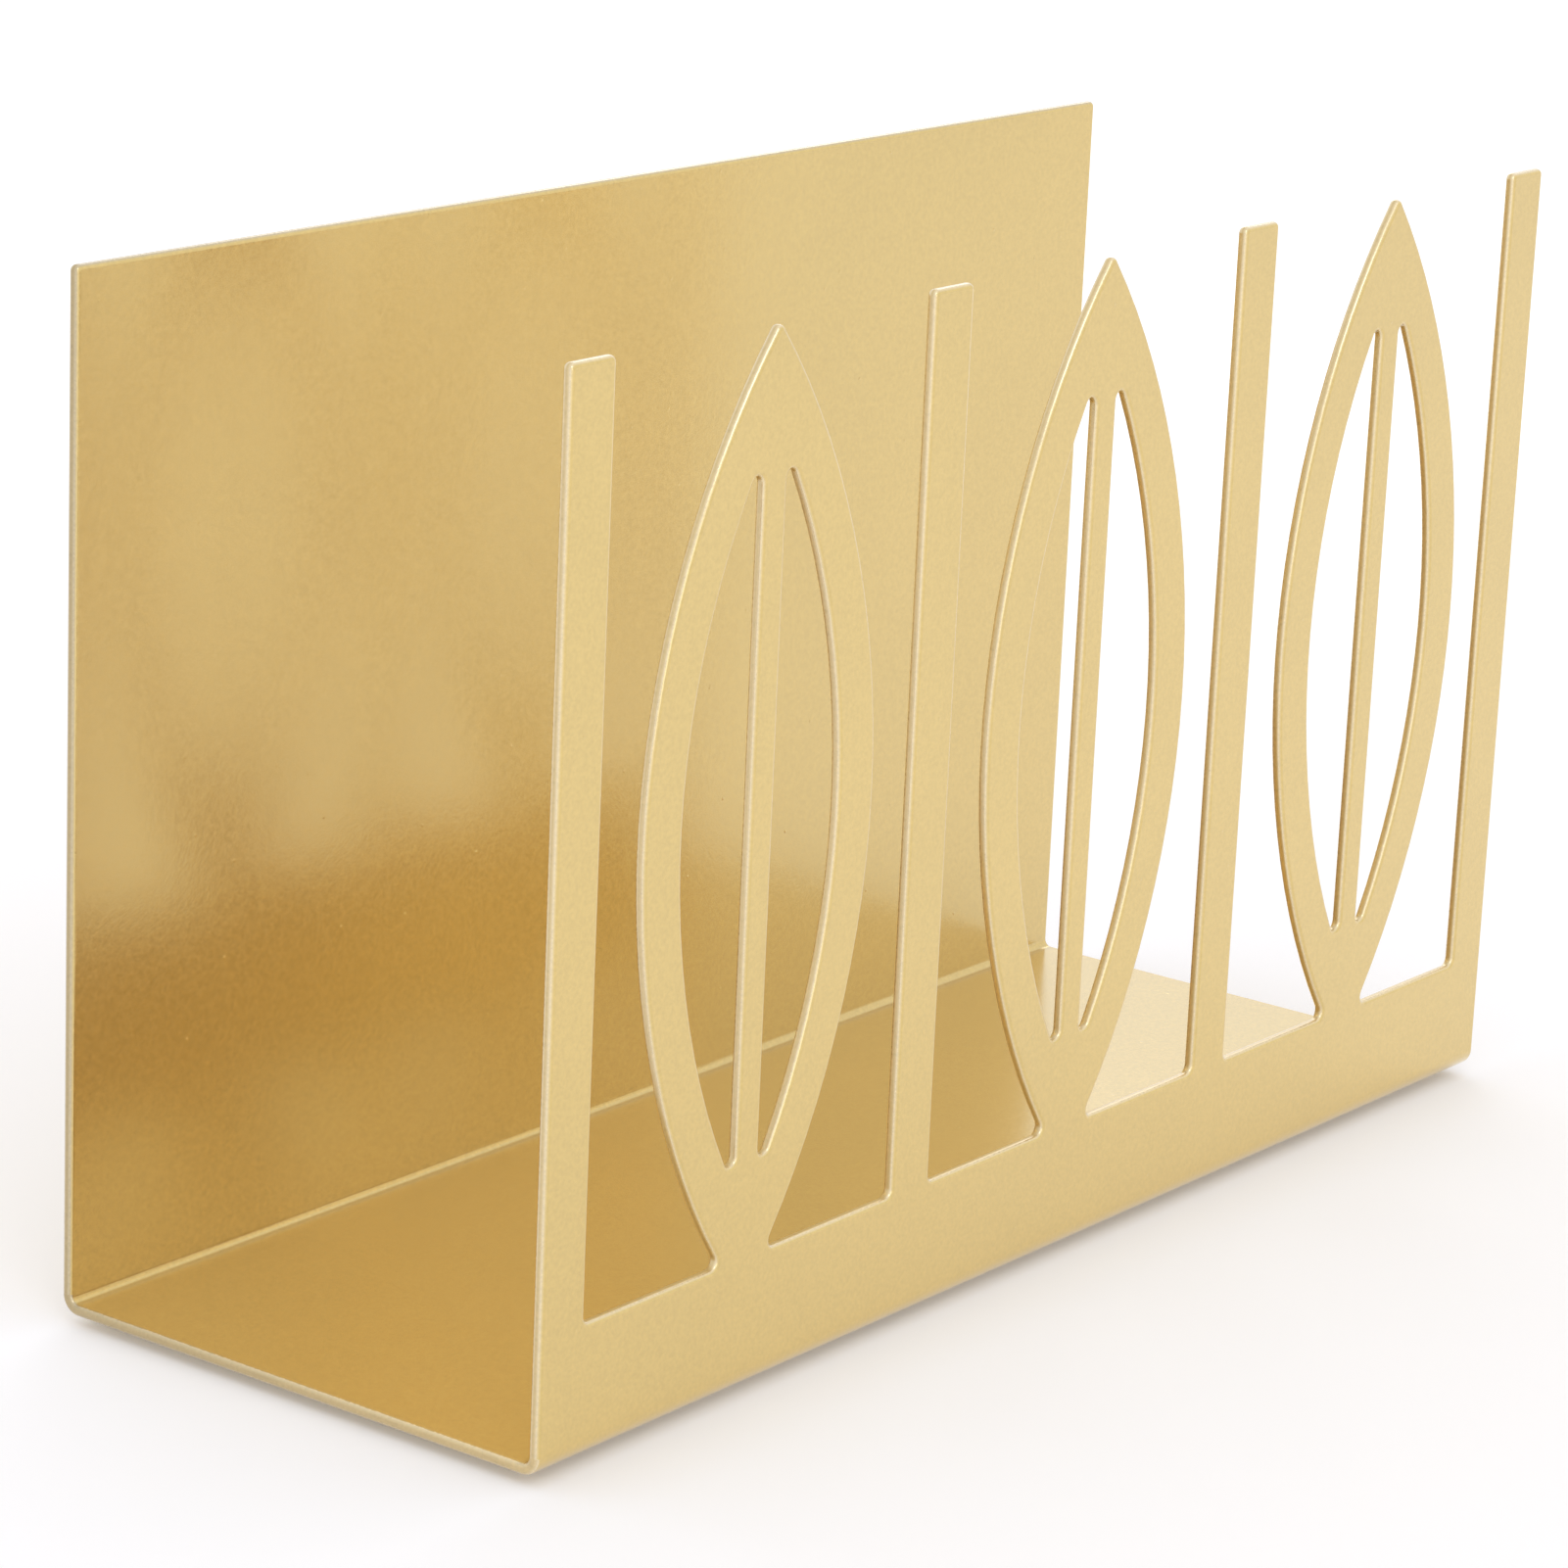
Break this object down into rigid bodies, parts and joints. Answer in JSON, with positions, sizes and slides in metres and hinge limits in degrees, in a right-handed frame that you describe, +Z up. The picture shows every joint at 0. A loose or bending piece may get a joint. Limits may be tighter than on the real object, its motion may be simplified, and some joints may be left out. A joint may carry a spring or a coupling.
{
  "type": "mail holder",
  "caption": "Desk mail holder folded from one gold-painted steel sheet: a plain tall back, a flat base and a low front strip that carries tall openwork pickets and leaves.",
  "frame": {"origin": "centre of the footprint, on the desk under the foot pads", "axes": "+X along the width, to the right seen from the front; the openwork front faces -Y; +Z up"},
  "size_m": [0.24, 0.088, 0.1517],
  "materials": {
    "gold_paint": "satin metallic champagne gold paint on sheet steel, edges softened by the coat",
    "pad_foam": "matte closed-cell foam",
    "pad_adhesive": "thin acrylic adhesive"
  },
  "bodies": {
    "root": {"folded_sheet": "gold_paint", "foot_pad_front_left": "pad_foam", "foot_pad_front_right": "pad_foam", "foot_pad_rear_left": "pad_foam", "foot_pad_rear_right": "pad_foam", "pad_adhesive_front_left": "pad_adhesive", "pad_adhesive_front_right": "pad_adhesive", "pad_adhesive_rear_left": "pad_adhesive", "pad_adhesive_rear_right": "pad_adhesive"}
  },
  "joints": []
}
